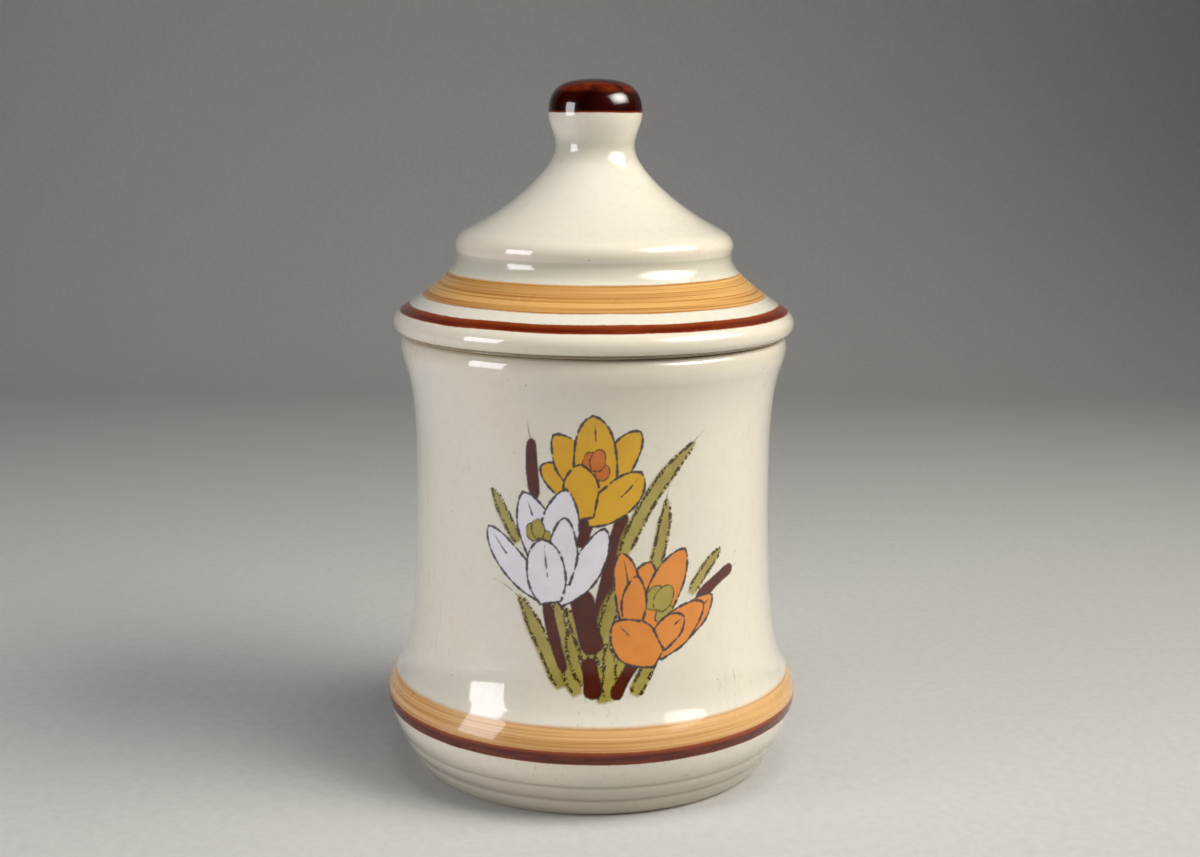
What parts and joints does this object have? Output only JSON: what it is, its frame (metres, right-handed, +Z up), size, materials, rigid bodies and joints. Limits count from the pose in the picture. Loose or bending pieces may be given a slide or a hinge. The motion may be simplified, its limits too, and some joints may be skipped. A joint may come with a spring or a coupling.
{
  "type": "food canister",
  "caption": "Waisted round stoneware canister with a flared ribbed base and a stepped domed lid that ends in a hollow knob and seals with a soft ring.",
  "frame": {"origin": "centre of the foot ring, on the surface the canister stands on", "axes": "+Z up along the axis the jar and the lid are turned about; -Y towards the printed side"},
  "size_m": [0.155, 0.155, 0.254],
  "materials": {
    "stoneware": "clear gloss glaze over ivory stoneware, with ochre bands, red-brown lines and a printed flower spray",
    "seal_rubber": "matt"
  },
  "bodies": {
    "jar": {"jar_body": "stoneware"},
    "seal": {"lid_seal": "seal_rubber"},
    "lid": {"lid": "stoneware"}
  },
  "joints": [
    {"name": "lid_lift", "type": "slide", "parent": "jar", "child": "seal", "axis": [0, 0, 1], "range_m": [0, 0.15]},
    {"name": "lid_turn", "type": "hinge", "parent": "seal", "child": "lid", "pos_m": [0, 0, 0.157], "axis": [0, 0, 1], "continuous": true}
  ]
}
